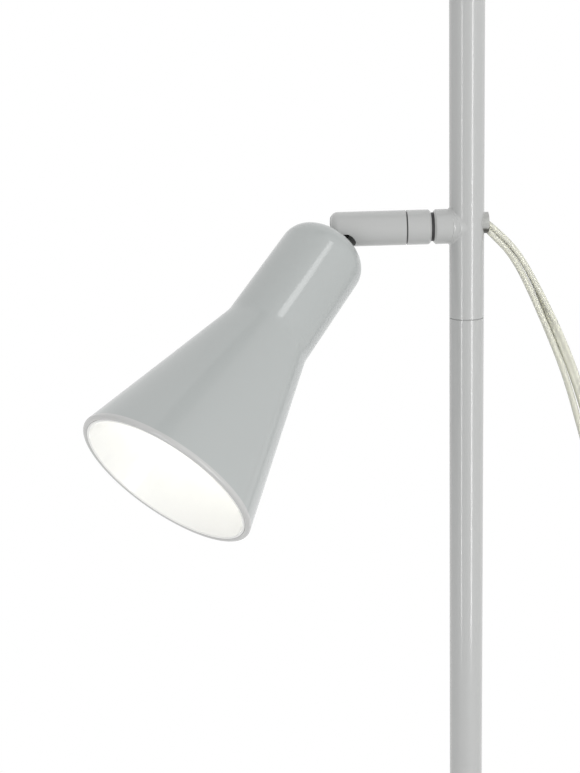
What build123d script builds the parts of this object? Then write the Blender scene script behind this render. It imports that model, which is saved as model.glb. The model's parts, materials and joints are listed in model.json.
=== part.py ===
"""Torchiere floor lamp with a reading light on a side arm.

Millimetres, +Z up. The origin is on the floor, under the pole's axis. The reading arm points
along -X, and the two lamp cords leave the pole on its +X side, at the height of the arm.
"""
from build123d import *
from math import asin, atan, cos, pi, radians, sin, sqrt, tan
import os

os.makedirs("parts", exist_ok=True)

# ---------------------------------------------------------------- driving sizes
# Clearances
slip = 0.1              # radial room of a plug in its tube, or a thread in its hole
running = 0.05          # radial room of a pin or shaft that turns in its hole
axial_gap = 0.15        # room between flat faces that turn on each other
body_gap = 0.3          # room between pieces that move past each other

# Base
base_radius = 130.0
base_wall = 1.5
base_edge_radius = 6.0
pad_thickness = 3.0
pad_inset = 6.0
skirt_lift = 1.0
weight_thickness = 14.0
base_bolt_radius = 5.0
base_bolt_grip = 20.0   # thread length inside the pole's foot
bolt_head_height = 6.4
bolt_head_flats = 16.0
base_washer_radius = 15.0
base_washer_thickness = 1.6
recess_depth = 9.0
recess_room = 1.0       # around the washer

# Pole
pole_radius = 9.0
pole_wall = 1.0
section_length = 545.0
section_chamfer = 0.12
seam_width = 0.35       # shadow line at the foot of each section
seam_depth = 0.6
coupler_length = 60.0
coupler_wall = 2.4
plug_length = 25.0

# Reading arm, measured outwards from the pole's axis
arm_above_seam = 48.3
arm_radius = 9.0
stub_end = 17.3
collar_start = 18.9
collar_end = 31.2
pivot_out = 64.7
knuckle_beyond_pivot = 6.0
knuckle_round = 4.0
groove_chamfer = 1.0
groove_depth = 1.6
hairline_chamfer = 0.15
hairline_width = 0.5    # shadow line between the collar and the knuckle
hairline_depth = 0.9
swivel_tube_radius = 5.0
swivel_tube_bore = 3.6
collar_end_wall = 3.0
collar_cavity_radius = 7.6
spring_washer_thickness = 1.0
swivel_nut_thickness = 3.0
swivel_tube_inside = 1.0    # length of the tube within the pole
swivel_tube_past_nut = 0.5
knuckle_spigot = 4.2
knuckle_bore = 4.6
slot_width = 10.6
slot_reach = 6.8        # from the pivot back to the slot's round end
slot_above_axis = 5.0
swivel_rest = 43.2      # degrees from straight down, towards the front
tilt_rest = 32.2        # degrees from square to the arm, away from the pole

# Pivot of the reading shade
pivot_pin_radius = 2.0
pivot_head_radius = 3.4
pivot_head_height = 2.2
pivot_head_depth = 2.4  # from the knuckle's side down to the seat of the head
pivot_blind_wall = 2.2
key_flats = 2.5
key_depth = 1.3
lug_width = 8.6
lug_side_gap = 0.4      # between the lug and each side of the slot
lug_edge = 2.2
crown_offset = 9.8      # from the pivot to the crown of the shade
stem_radius = 4.0
stem_bore = 2.4
stem_washer_radius = 8.0
stem_washer_thickness = 1.0
stem_nut_flats = 12.5
stem_nut_height = 4.5
stem_shoulder = 0.5     # length of the stem's round part within the lug
lug_wire_radius = 1.6
lug_wire_drop = 2.7     # from the crown of the shade up to the wire's hole
crown_overrun = 1.0     # extra length, cut back to the crown's curve

# Shades: lengths run from the top of the crown to the front of the rolled bead
shade_crown_radius = 90.0
shade_corner_radius = 12.5
shade_wall = 1.2
reading_neck_radius = 22.5
reading_neck_end_radius = 22.87
reading_neck_length = 66.4
reading_bend_radius = 20.0
reading_mouth_radius = 46.4
reading_shade_length = 158.6
reading_bead_radius = 1.4
uplight_neck_radius = 22.5
uplight_neck_end_radius = 23.2
uplight_neck_length = 34.0
uplight_bend_radius = 45.0
uplight_mouth_radius = 128.0
uplight_shade_length = 150.0
uplight_bead_radius = 2.4
reflector_thickness = 0.8
reflector_gap = 0.1     # between the reflector and the inside of the bead
reflector_tuck = 0.5    # from the front of the bead back to the reflector's edge
reading_reflector_start = 60.0
uplight_reflector_start = 44.0

# Lampholders and bulbs: small screw base in the reading shade, large one in the uplight
small_holder_radius = 13.5
small_holder_length = 40.0
small_shell_radius = 8.8
small_cap_length = 22.0
small_bulb_neck_radius = 10.5
small_globe_radius = 19.0
small_globe_centre = 36.0   # past the lampholder's rim
large_holder_radius = 18.5
large_holder_length = 52.0
large_shell_radius = 14.2
large_cap_length = 26.0
large_bulb_neck_radius = 14.5
large_globe_radius = 30.0
large_globe_centre = 46.0
cap_tip = 0.45          # radius of a cap's tip, as a share of the cap's radius
stem_below_floor = 1.0  # from a lampholder's floor back to the end of its stem
shell_wall = 0.6
holder_edge_radius = 3.0

# Cord exit
exit_above_arm = 1.4
grommet_radius = 4.4
grommet_bore = 3.4
grommet_flange_radius = 5.5
grommet_stand_out = 2.0
grommet_inside = 0.8
uplight_wire_x = -2.6
uplight_wire_bend = 7.0
reading_wire_step = 4.0 # from the pole's axis to each end of its sideways step
reading_wire_bend = 8.0
wire_end_gap = 1.0

# Uplight seat at the top of the pole
nipple_radius = 5.0
nipple_bore = 3.5
nipple_in_pole = 15.0
top_collar_height = 6.0
top_nut_flats = 14.0
top_nut_height = 4.0

# Cords
cord_thickness = 3.2
bend_share = 0.45       # of the shorter run, taken up by each bend

# Cord switch, standing on the floor; Y runs along it
switch_x = 178.0
switch_y = 122.0
switch_width = 34.0
switch_length = 84.0
switch_base_height = 9.0
switch_cover_height = 11.0
switch_wall = 2.0
switch_corner = 6.0
switch_edge = 2.5
rocker_width = 20.0
rocker_reach = 13.0     # radius of the rocker's ends about its pivot
rocker_spacing = 35.0
rocker_pivot_up = 15.0
rocker_rise = 6.0
rocker_drop = 3.0
rocker_dish_radius = 34.0
rocker_dish_depth = 2.2
rocker_edge = 0.5
rocker_rest = 8.0       # degrees, pressed at the end that is on
rocker_clearance = 0.4
well_wall = 1.5
well_drop = 3.6         # from the pivot down to the well's lower edge
rocker_pin_radius = 1.5
inlet_spacing = 12.0
inlet_height = 5.8
relief_length = 22.0
relief_base_radius = 3.5
relief_tip_radius = 2.3
relief_neck_radius = 2.9
relief_flange_radius = 3.6
relief_flange_thickness = 1.2
screw_offset = 12.0
screw_radius = 1.3
screw_head_radius = 2.3
screw_head_height = 1.4
screw_recess = 0.4
boss_radius = 2.5
contact_size = (1.0, 6.0, 6.4)
contact_offset = 6.0

# Mains cord's coil, lying on the floor behind the base
coil_x = 85.0
coil_y = 186.0
coil_inner_turn = 22.0
coil_turn_pitch = 5.6
coil_layer_pitch = 3.4
coil_turns_per_layer = 4
coil_layers = 2
cord_width = 5.4

# Mains plug, lying on the floor; it points along -X
plug_x = -8.0           # where the body's tail is
plug_y = 207.0
plug_body_length = 36.0
plug_body_width = 26.0
plug_body_height = 13.6
plug_nose_width = 35.3
plug_nose_length = 7.0
plug_nose_corner = 4.0
plug_tail_corner = 6.0
plug_edge = 1.2
pin_radius = 2.0
pin_length = 19.0
pin_spacing = 18.6
pin_root = 8.0          # length of each pin inside the body
pin_tip_round = 1.2
plug_relief_length = 20.0
plug_relief_base_radius = 4.7

# ---------------------------------------------------------------- worked-out places
ON_FLOOR = (Align.CENTER, Align.CENTER, Align.MIN)
base_top = pad_thickness + weight_thickness + base_wall
pole_bore = pole_radius - pole_wall
lower_seam = base_top + section_length
upper_seam = lower_seam + section_length
pole_top = upper_seam + section_length
arm_height = upper_seam + arm_above_seam
knuckle_end = pivot_out + knuckle_beyond_pivot
lug_thickness = slot_width - 2 * lug_side_gap
exit_height = arm_height + exit_above_arm
exit_face = pole_radius + grommet_stand_out


# ---------------------------------------------------------------- small makers
def disc(radius, height, start=0.0):
    """Round bar standing on its start height."""
    return Pos(0, 0, start) * Cylinder(radius, height, align=ON_FLOOR)


def pipe(radius, bore, height, start=0.0):
    return disc(radius, height, start) - disc(bore, height, start)


def hexagon(flats, height, start=0.0):
    bar = extrude(RegularPolygon(flats / 2, 6, major_radius=False), height)
    return Pos(0, 0, start) * bar


def turned(*points):
    """Solid of revolution about Z, from its outline as (radius, height) points."""
    return revolve(Plane.XZ * make_face(Polyline(*points, close=True)), Axis.Z)


def circles_at(part, height):
    """Circular edges of a part at one height."""
    return [edge for edge in part.edges().filter_by(GeomType.CIRCLE)
            if abs(edge.center().Z - height) < 1e-4]


def group(*solids):
    return Compound(children=[solid for part in solids for solid in part.solids()])


class Trumpet:
    """Spun shade: a crown, a short neck and a cone that ends in a rolled bead.

    Lengths run along the shade's axis from the top of its crown.
    """

    def __init__(self, neck, neck_end, neck_length, bend_radius, mouth, length, bead):
        self.bend = (neck_end, neck_length)
        self.bend_radius = bend_radius
        self.corner_centre_r = neck - shade_corner_radius
        crown_to_corner = shade_crown_radius - shade_corner_radius
        self.lean = asin(self.corner_centre_r / crown_to_corner)
        self.corner_centre_s = shade_crown_radius - crown_to_corner * cos(self.lean)
        bead_s = length - bead
        self.cone_angle = atan((mouth - neck_end) / (bead_s - neck_length))
        self.mouth = (mouth - bead * sin(self.cone_angle) * tan(self.cone_angle),
                      bead_s - bead * sin(self.cone_angle))
        self.bead = bead
        self.bead_centre = (self.mouth[0] - bead * cos(self.cone_angle), bead_s)

    def line(self, hole, inset):
        """Curves from the crown's hole to the mouth, a given inset within the outer face."""
        crown, corner = shade_crown_radius - inset, shade_corner_radius - inset

        def on_crown(angle):
            return crown * sin(angle), shade_crown_radius - crown * cos(angle)

        def on_corner(angle):
            return (self.corner_centre_r + corner * sin(angle),
                    self.corner_centre_s - corner * cos(angle))

        first = asin(hole / crown)
        bend = (self.bend[0] - inset, self.bend[1] + inset * tan(self.cone_angle / 2))
        end = (self.mouth[0] - inset * cos(self.cone_angle),
               self.mouth[1] + inset * sin(self.cone_angle))
        return [ThreePointArc(on_crown(first), on_crown((first + self.lean) / 2),
                              on_crown(self.lean)),
                ThreePointArc(on_corner(self.lean), on_corner((self.lean + pi / 2) / 2),
                              on_corner(pi / 2)),
                FilletPolyline(on_corner(pi / 2), bend, end, radius=self.bend_radius + inset)]

    def shell(self, hole):
        """The shade itself, with a hole through its crown."""
        outer, inner = self.line(hole, 0), self.line(hole, shade_wall)
        closing = [Line(outer[0] @ 0, inner[0] @ 0), Line(outer[-1] @ 1, inner[-1] @ 1)]
        wall = make_face([edge for curve in outer + inner + closing for edge in curve.edges()])
        lip = Pos(*self.bead_centre) * Circle(self.bead)
        return revolve(Plane.XZ * (wall + lip), Axis.Z)

    def liner(self, start):
        """White cone inside the shade, parallel to it, from start to the bead's inner edge."""
        slope = tan(self.cone_angle)
        across = reflector_thickness / cos(self.cone_angle)
        edge_r = self.bead_centre[0] - self.bead - reflector_gap
        edge_s = self.bead_centre[1] + self.bead - reflector_tuck
        foot_r = edge_r - slope * (edge_s - start)
        return turned((foot_r, start), (edge_r, edge_s), (edge_r - across, edge_s),
                      (foot_r - across, start))


class Lampholder:
    """Screw lampholder with its shell and a bulb; lengths run from the holder's underside."""

    def __init__(self, radius, length, shell_radius, cap_length, bulb_neck, globe_radius,
                 globe_centre):
        self.radius, self.length = radius, length
        self.shell_radius, self.shell_bore = shell_radius, shell_radius - shell_wall
        self.cap_radius = self.shell_bore - 3 * slip
        self.cap_end = length + body_gap
        self.cap_start = self.cap_end - cap_length
        self.floor = self.cap_start - 2 * shell_wall - 2 * slip
        self.bulb_neck, self.globe_radius = bulb_neck, globe_radius
        self.globe_at = length + globe_centre

    def body(self, stem):
        outline = turned((0, 0), (self.radius, 0), (self.radius, self.length), (0, self.length))
        outline = fillet(circles_at(outline, 0), holder_edge_radius)
        cavity = disc(self.shell_radius + slip, self.length, self.floor)
        return outline - cavity - disc(stem + slip, self.length)

    def shell(self):
        height = self.length - self.floor - shell_wall
        cup = disc(self.shell_radius, height, self.floor)
        cup -= disc(self.shell_bore, height, self.floor + shell_wall)
        return cup - disc(self.shell_bore / 2, height, self.floor)

    def contact(self):
        return disc(self.shell_bore / 2 - 4 * slip, self.cap_start - self.floor - slip, self.floor)

    def cap(self):
        tip = self.cap_radius * cap_tip
        return turned((0, self.cap_start), (tip, self.cap_start),
                      (self.cap_radius, self.cap_start + tip), (self.cap_radius, self.cap_end),
                      (0, self.cap_end))

    def bulb_body(self):
        shoulder = self.cap_end + (self.bulb_neck - self.cap_radius)
        return turned((0, self.cap_end), (self.cap_radius, self.cap_end),
                      (self.bulb_neck, shoulder), (self.globe_radius - 2 * slip, self.globe_at),
                      (0, self.globe_at))

    def globe(self):
        ball = Pos(0, 0, self.globe_at) * Sphere(self.globe_radius)
        return ball - disc(2 * self.globe_radius, 2 * self.globe_radius,
                           self.globe_at - 2 * self.globe_radius)

    def pieces(self, prefix, stem, start):
        made = {"lampholder": self.body(stem), "socket_shell": self.shell(),
                "socket_contact": self.contact(), "bulb_cap": self.cap(),
                "bulb_body": self.bulb_body(), "bulb_globe": self.globe()}
        return {f"{prefix}_{name}": Pos(0, 0, start) * part for name, part in made.items()}


# ---------------------------------------------------------------- base
def base_pieces():
    weight_radius = base_radius - base_wall - slip
    recess_top = pad_thickness + recess_depth
    pad = disc(base_radius - pad_inset, pad_thickness)

    weight = disc(weight_radius, weight_thickness, pad_thickness)
    weight = fillet(circles_at(weight, pad_thickness + weight_thickness), base_edge_radius)
    weight -= disc(base_bolt_radius + slip, weight_thickness, pad_thickness)
    weight -= disc(base_washer_radius + recess_room, recess_depth, pad_thickness)

    cover = disc(base_radius, base_top - skirt_lift, skirt_lift)
    cover = fillet(circles_at(cover, base_top), base_edge_radius)
    hollow = disc(base_radius - base_wall, base_top - base_wall - skirt_lift, skirt_lift)
    cover -= fillet(circles_at(hollow, base_top - base_wall), base_edge_radius - base_wall)
    cover -= disc(base_bolt_radius + slip, base_top)

    head_top = recess_top - base_washer_thickness
    washer = pipe(base_washer_radius, base_bolt_radius + slip, base_washer_thickness, head_top)
    bolt = hexagon(bolt_head_flats, bolt_head_height, head_top - bolt_head_height)
    bolt += disc(base_bolt_radius, base_top + base_bolt_grip - head_top, head_top)
    return {"floor_pad": pad, "base_weight": weight, "base_cover": cover,
            "base_washer": washer, "base_bolt": bolt}


# ---------------------------------------------------------------- pole
def pole_section(start):
    section = pipe(pole_radius, pole_bore, section_length - seam_width, start + seam_width)
    ends = [edge for height in (start + seam_width, start + section_length)
            for edge in circles_at(section, height) if abs(edge.radius - pole_radius) < 1e-4]
    return chamfer(ends, section_chamfer) + pipe(pole_radius - seam_depth, pole_bore,
                                                 seam_width, start)


def pole_pieces():
    plug_radius = pole_bore - slip
    foot = pipe(plug_radius, base_bolt_radius + slip, plug_length, base_top)
    top = pipe(plug_radius, nipple_radius + slip, nipple_in_pole, pole_top - nipple_in_pole)
    coupler_bore = plug_radius - coupler_wall
    upper = pole_section(upper_seam)
    arm_bore = Rot(0, -90, 0) * disc(swivel_tube_radius + slip, pole_radius)
    cord_bore = Rot(0, 90, 0) * disc(grommet_radius + slip, pole_radius)
    upper -= Pos(0, 0, arm_height) * arm_bore
    upper -= Pos(0, 0, exit_height) * cord_bore
    return {
        "pole_foot_plug": foot,
        "pole_lower": pole_section(base_top),
        "lower_coupler": pipe(plug_radius, coupler_bore, coupler_length,
                              lower_seam - coupler_length / 2),
        "pole_middle": pole_section(lower_seam),
        "upper_coupler": pipe(plug_radius, coupler_bore, coupler_length,
                              upper_seam - coupler_length / 2),
        "pole_upper": upper,
        "pole_top_plug": top,
    }


# ---------------------------------------------------------------- reading arm
# In the arm's frame Z runs outwards from the pole, X is the knuckle's underside
# and Y its side; the swivel turns that frame about Z.
arm_rest = Location(Plane(origin=(0, 0, arm_height), x_dir=(0, 0, -1), z_dir=(-1, 0, 0)))
arm_frame = arm_rest * Rot(0, 0, swivel_rest)


def arm_fixed_pieces():
    """Stub on the pole, and what the swivel turns on."""
    stub = disc(arm_radius, stub_end)
    stub = chamfer(circles_at(stub, stub_end), groove_chamfer)
    stub = arm_rest * (stub - disc(swivel_tube_radius + slip, stub_end))
    stub -= disc(pole_radius, 4 * arm_radius, arm_height - 2 * arm_radius)

    washer = pipe(arm_radius - groove_depth, swivel_tube_radius + slip,
                  collar_start - stub_end - axial_gap, stub_end)
    spring_start = collar_start + collar_end_wall + axial_gap
    nut_start = spring_start + spring_washer_thickness
    tube_start = pole_bore - swivel_tube_inside
    tube_end = nut_start + swivel_nut_thickness + swivel_tube_past_nut
    nut_radius = collar_cavity_radius - 2 * body_gap
    spring = pipe(nut_radius, swivel_tube_radius + slip, spring_washer_thickness, spring_start)
    nut = pipe(nut_radius, swivel_tube_radius + slip, swivel_nut_thickness, nut_start)
    tube = pipe(swivel_tube_radius, swivel_tube_bore, tube_end - tube_start, tube_start)
    return {"arm_stub": stub, "friction_washer": arm_rest * washer,
            "swivel_spring_washer": arm_rest * spring, "swivel_nut": arm_rest * nut,
            "swivel_tube": arm_rest * tube}


def across_arm(radius, start, end):
    """Round bar through the pivot, along the arm's Y, from one side to the other."""
    bar = Rot(-90, 0, 0) * disc(radius, end - start, start)
    return Pos(0, 0, pivot_out) * bar


def arm_moving_pieces():
    collar = disc(arm_radius, collar_end - collar_start, collar_start)
    collar = chamfer(circles_at(collar, collar_start), groove_chamfer)
    collar = chamfer(circles_at(collar, collar_end), hairline_chamfer)
    collar -= disc(swivel_tube_radius + running, collar_end)
    collar -= disc(collar_cavity_radius, collar_end, collar_start + collar_end_wall)

    knuckle_start = collar_end + hairline_width
    knuckle = disc(arm_radius, knuckle_end - knuckle_start, knuckle_start)
    knuckle = fillet(circles_at(knuckle, knuckle_end), knuckle_round)
    knuckle = chamfer(circles_at(knuckle, knuckle_start), hairline_chamfer)
    knuckle += disc(arm_radius - hairline_depth, hairline_width, collar_end)
    knuckle += disc(collar_cavity_radius - slip, knuckle_spigot, collar_end - knuckle_spigot)
    slot_back = pivot_out - slot_reach
    slot_centre = slot_back + slot_width / 2
    knuckle -= disc(knuckle_bore, slot_centre - collar_end + knuckle_spigot,
                    collar_end - knuckle_spigot)
    slot_depth = arm_radius + slot_above_axis
    round_end = Rot(0, 90, 0) * disc(slot_width / 2, slot_depth, -slot_above_axis)
    open_end = Pos(-slot_above_axis, 0, slot_centre) * Box(
        slot_depth, slot_width, knuckle_end - slot_centre, align=(Align.MIN, Align.CENTER, Align.MIN))
    knuckle -= Pos(0, 0, slot_centre) * round_end + open_end

    head_seat = pivot_head_depth - arm_radius
    pin_end = arm_radius - pivot_blind_wall
    knuckle -= across_arm(pivot_pin_radius + running, head_seat, pin_end + running)
    knuckle -= across_arm(pivot_head_radius + slip, -arm_radius, head_seat)
    screw = across_arm(pivot_head_radius, head_seat - pivot_head_height, head_seat)
    screw += across_arm(pivot_pin_radius, head_seat, pin_end)
    key = Rot(-90, 0, 0) * hexagon(key_flats, key_depth, head_seat - pivot_head_height)
    screw -= Pos(0, 0, pivot_out) * key
    return {"swivel_collar": arm_frame * collar, "knuckle": arm_frame * knuckle,
            "pivot_screw": arm_frame * screw}


# ---------------------------------------------------------------- reading head
# In the head's frame Z runs along the shade's axis, with zero at the top of the crown.
lean = radians(tilt_rest)
head_plane = Plane(origin=(crown_offset * cos(lean), 0, pivot_out + crown_offset * sin(lean)),
                   x_dir=(-sin(lean), 0, cos(lean)), z_dir=(cos(lean), 0, sin(lean)))
head_frame = arm_frame * Location(head_plane)

reading_trumpet = Trumpet(reading_neck_radius, reading_neck_end_radius, reading_neck_length,
                          reading_bend_radius, reading_mouth_radius, reading_shade_length,
                          reading_bead_radius)
small_holder = Lampholder(small_holder_radius, small_holder_length, small_shell_radius,
                          small_cap_length, small_bulb_neck_radius, small_globe_radius,
                          small_globe_centre)
crown_ball = Pos(0, 0, shade_crown_radius) * Sphere(shade_crown_radius)


def seat_in_crown(radius):
    """Depth below the crown's top where a flat piece of a radius touches its inside."""
    inside = shade_crown_radius - shade_wall
    return shade_wall + inside - sqrt(inside ** 2 - radius ** 2)


def reading_head_pieces():
    washer_at = seat_in_crown(stem_washer_radius)
    nut_at = washer_at + stem_washer_thickness
    holder_at = nut_at + stem_nut_height
    stem_end = holder_at + small_holder.floor - stem_below_floor

    lug = Pos(0, 0, -crown_offset) * (Rot(90, 0, 0) * Cylinder(lug_width / 2, lug_thickness))
    lug += Pos(0, 0, -crown_offset) * Box(lug_width, lug_thickness, crown_offset + crown_overrun,
                                          align=ON_FLOOR)
    lug = fillet([edge for edge in lug.edges()
                  if abs(abs(edge.center().Y) - lug_thickness / 2) < 1e-4
                  and edge.center().Z < 0], lug_edge)
    lug -= crown_ball
    lug += disc(stem_radius, stem_end + stem_shoulder, -stem_shoulder)
    lug -= Pos(0, 0, -crown_offset) * (Rot(90, 0, 0) * Cylinder(pivot_pin_radius + running,
                                                                lug_thickness))
    bore_start = -lug_wire_drop - lug_wire_radius
    lug -= disc(stem_bore, stem_end - bore_start, bore_start)
    lug -= Pos(0, 0, -lug_wire_drop) * (Rot(0, -90, 0) * disc(lug_wire_radius, lug_width))

    reading_parts = {
        "shade_lug": lug,
        "lug_washer": pipe(stem_washer_radius, stem_radius + slip, stem_washer_thickness,
                           washer_at),
        "lug_nut": hexagon(stem_nut_flats, stem_nut_height, nut_at)
        - disc(stem_radius + slip, stem_nut_height, nut_at),
        "reading_shade": reading_trumpet.shell(stem_radius + slip),
        "reading_reflector": reading_trumpet.liner(reading_reflector_start),
    }
    reading_parts.update(small_holder.pieces("reading", stem_radius, holder_at))
    return {name: head_frame * part for name, part in reading_parts.items()}


# ---------------------------------------------------------------- uplight
uplight_trumpet = Trumpet(uplight_neck_radius, uplight_neck_end_radius, uplight_neck_length,
                          uplight_bend_radius, uplight_mouth_radius, uplight_shade_length,
                          uplight_bead_radius)
large_holder = Lampholder(large_holder_radius, large_holder_length, large_shell_radius,
                          large_cap_length, large_bulb_neck_radius, large_globe_radius,
                          large_globe_centre)


def uplight_pieces():
    crown_at = pole_top + top_collar_height
    nut_at = seat_in_crown(top_nut_flats / sqrt(3))
    holder_at = nut_at + top_nut_height
    nipple_end = holder_at + large_holder.floor - stem_below_floor
    collar = pipe(pole_radius, nipple_radius + slip, top_collar_height + crown_overrun,
                  -top_collar_height)
    nipple_start = -top_collar_height - nipple_in_pole
    uplight_parts = {
        "uplight_collar": collar - crown_ball,
        "uplight_nipple": pipe(nipple_radius, nipple_bore, nipple_end - nipple_start,
                               nipple_start),
        "uplight_locknut": hexagon(top_nut_flats, top_nut_height, nut_at)
        - disc(nipple_radius + slip, top_nut_height, nut_at),
        "uplight_shade": uplight_trumpet.shell(nipple_radius + slip),
        "uplight_reflector": uplight_trumpet.liner(uplight_reflector_start),
    }
    uplight_parts.update(large_holder.pieces("uplight", nipple_radius, holder_at))
    return {name: Pos(0, 0, crown_at) * part for name, part in uplight_parts.items()}


# ---------------------------------------------------------------- cords
def cord_route(name, points, smallest=3 * cord_thickness):
    """Tube along straight runs joined by arcs as large as the runs allow."""
    places = [Vector(*point) for point in points]
    runs = [after - before for before, after in zip(places, places[1:])]
    bends = []
    for before, after in zip(runs, runs[1:]):
        turn = radians(before.get_angle(after))
        bends.append(bend_share * min(before.length, after.length) / tan(turn / 2))
    path = FilletPolyline(*points, radius=bends)
    start = Plane(origin=places[0], z_dir=runs[0])
    tube = sweep(start * Circle(cord_thickness / 2), path=path)
    expected = pi * (cord_thickness / 2) ** 2 * path.length
    print(f"{name}: {path.length:.0f} mm, smallest bend {min(bends):.1f}, "
          f"volume {tube.volume / expected:.4f} of section times length")
    if min(bends) < smallest:
        print(f"  {name}: bends under {smallest:.1f}:",
              [(index + 1, round(bend, 1)) for index, bend in enumerate(bends) if bend < smallest])
    return tube


floor_lie = cord_thickness / 2      # height of a cord's middle where it lies on the floor
inlet_y = switch_y - switch_length / 2 - relief_length
outlet_y = switch_y + switch_length / 2 + relief_length
reading_inlet_x = switch_x - inlet_spacing / 2
uplight_inlet_x = switch_x + inlet_spacing / 2

# Each route starts at the grommet, with heights counted from the arm's axis, and hangs down
# to the floor; its last points are counted from the floor and the switch.
reading_hang = [
    (11.9, -0.2, -3.7), (21.6, -0.2, -13.4), (29.3, -0.2, -25.9), (41.2, -0.1, -52.4),
    (52.6, 0.0, -80.6), (61.4, 0.2, -111.5), (74.9, 0.8, -160.0), (89.5, 1.4, -217.0),
    (102.8, 2.0, -275.0), (114.0, 2.5, -333.0), (123.0, 2.8, -391.5), (130.0, 2.9, -450.0),
    (135.4, 2.6, -509.0), (139.6, 2.0, -568.0), (142.9, 1.2, -627.0), (145.6, 0.2, -686.0),
    (148.0, -0.8, -745.0), (150.4, -2.0, -804.0), (153.0, -3.4, -863.0), (156.2, -5.0, -921.0),
    (160.2, -6.4, -979.0), (164.8, -7.6, -1034.0), (168.6, -7.0, -1078.0),
]
uplight_hang = [
    (13.0, 0.4, 0.3), (24.4, 0.4, -11.1), (32.6, 0.4, -24.2), (45.2, 0.5, -51.0),
    (57.4, 0.6, -80.0), (67.0, 0.7, -111.5), (81.6, 0.6, -160.0), (96.8, 0.2, -217.0),
    (110.4, -0.6, -275.0), (121.8, -1.6, -333.0), (131.2, -2.8, -391.5), (138.6, -4.0, -450.0),
    (144.4, -5.2, -509.0), (149.0, -6.4, -568.0), (152.6, -7.4, -627.0), (155.6, -8.2, -686.0),
    (158.3, -8.8, -745.0), (161.3, -9.5, -804.0), (164.7, -10.1, -863.0), (168.7, -10.9, -921.0),
    (172.8, -11.6, -979.0), (177.6, -12.0, -1034.0), (181.4, -11.2, -1078.0),
]


def landing(inlet_x, side):
    """Last points of a lamp cord: round onto the floor and up into the switch."""
    return [(inlet_x + side * 1.2, inlet_y - 59.0, 47.0),
            (inlet_x + side * 1.6, inlet_y - 51.0, 22.0),
            (inlet_x + side * 1.2, inlet_y - 36.0, 6.0),
            (inlet_x + side * 0.4, inlet_y - 18.0, floor_lie + 0.6),
            (inlet_x, inlet_y, inlet_height)]


coil_layer_height = coil_layers * coil_layer_pitch
coil_outer_turn = coil_inner_turn + (coil_turns_per_layer - 1) * coil_turn_pitch
coil_radius = coil_outer_turn + cord_width / 2
coil_side_y = coil_y + coil_radius + cord_thickness / 2 + body_gap
mains_lead = [
    (switch_x, outlet_y, inlet_height), (switch_x - 0.6, outlet_y + 9.0, 3.2),
    (switch_x - 4.6, outlet_y + 21.0, 1.8), (switch_x - 14.0, outlet_y + 32.0, 1.7),
    (switch_x - 29.0, outlet_y + 39.4, 1.7), (switch_x - 46.0, outlet_y + 42.6, 1.7),
    (coil_x + 28.0, coil_side_y + 0.3, 1.7), (coil_x + 1.0, coil_side_y, 1.7),
]
mains_tail = [
    (coil_x - 1.0, coil_side_y, 5.1), (coil_x - 17.0, coil_side_y - 0.2, 4.4),
    (coil_x - 34.0, coil_side_y - 2.6, 2.2), (coil_x - 51.0, coil_side_y - 9.6, 1.9),
    (plug_x + plug_relief_length + 0.3, plug_y, plug_body_height / 2),
]


def cord_pieces():
    def from_arm(points):
        return [(x, y, arm_height + z) for x, y, z in points]

    coil = pipe(coil_radius, coil_inner_turn - cord_width / 2, coil_layer_height)
    return {
        "reading_cord": cord_route("reading_cord", from_arm(reading_hang)
                                   + landing(reading_inlet_x, -1)),
        "uplight_cord": cord_route("uplight_cord", from_arm(uplight_hang)
                                   + landing(uplight_inlet_x, 1)),
        "mains_cord": cord_route("mains_cord", mains_lead),
        "mains_cord_tail": cord_route("mains_cord_tail", mains_tail),
        "mains_cord_coil": Pos(coil_x, coil_y, 0) * coil,
    }


# ---------------------------------------------------------------- what the cords pass
def exit_pieces():
    """Clear grommet, and the two cords' ends inside the pole."""
    out = Rot(0, 90, 0)
    flange = out * disc(grommet_flange_radius, exit_face)
    flange -= disc(pole_radius, 4 * grommet_flange_radius, -2 * grommet_flange_radius)
    barrel_start = pole_bore - grommet_inside
    barrel = out * disc(grommet_radius, pole_radius - barrel_start, barrel_start)
    grommet = flange + barrel - out * disc(grommet_bore, exit_face)

    half = cord_thickness / 2
    rise = half + slip / 2
    top = pole_top - nipple_in_pole - exit_height - wire_end_gap
    uplight_path = FilletPolyline((uplight_wire_x, 0, top), (uplight_wire_x, 0, rise),
                                  (exit_face, 0, rise), radius=uplight_wire_bend)
    uplight_wire = sweep(
        Plane(origin=(uplight_wire_x, 0, top), z_dir=(0, 0, -1)) * Circle(half),
        path=uplight_path)
    tube_end = collar_start + collar_end_wall
    reading_path = FilletPolyline((-tube_end, 0, -exit_above_arm),
                                  (-reading_wire_step, 0, -exit_above_arm),
                                  (reading_wire_step, 0, -rise), (exit_face, 0, -rise),
                                  radius=reading_wire_bend)
    reading_wire = sweep(
        Plane(origin=(-tube_end, 0, -exit_above_arm), z_dir=(1, 0, 0)) * Circle(half),
        path=reading_path)
    lift = Pos(0, 0, exit_height)
    return {"cord_grommet": lift * grommet, "uplight_wire_inside": lift * uplight_wire,
            "reading_wire_inside": lift * reading_wire}


def relief(tip_length, tip_radius, base_radius_here, neck_radius, flange_radius, wall):
    """Tapered strain relief; Z runs out of the housing from the wall's outer face."""
    outline = turned((0, -wall - relief_flange_thickness),
                     (flange_radius, -wall - relief_flange_thickness), (flange_radius, -wall),
                     (neck_radius, -wall), (neck_radius, 0), (base_radius_here, 0),
                     (tip_radius, tip_length), (0, tip_length))
    length = tip_length + wall + relief_flange_thickness
    return outline - disc(cord_thickness / 2 + slip, length, -wall - relief_flange_thickness)


# ---------------------------------------------------------------- cord switch
def rounded_block(width, length, height, corner, start):
    block = Pos(0, 0, start) * Box(width, length, height, align=ON_FLOOR)
    return fillet(block.edges().filter_by(Axis.Z), corner)


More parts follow.
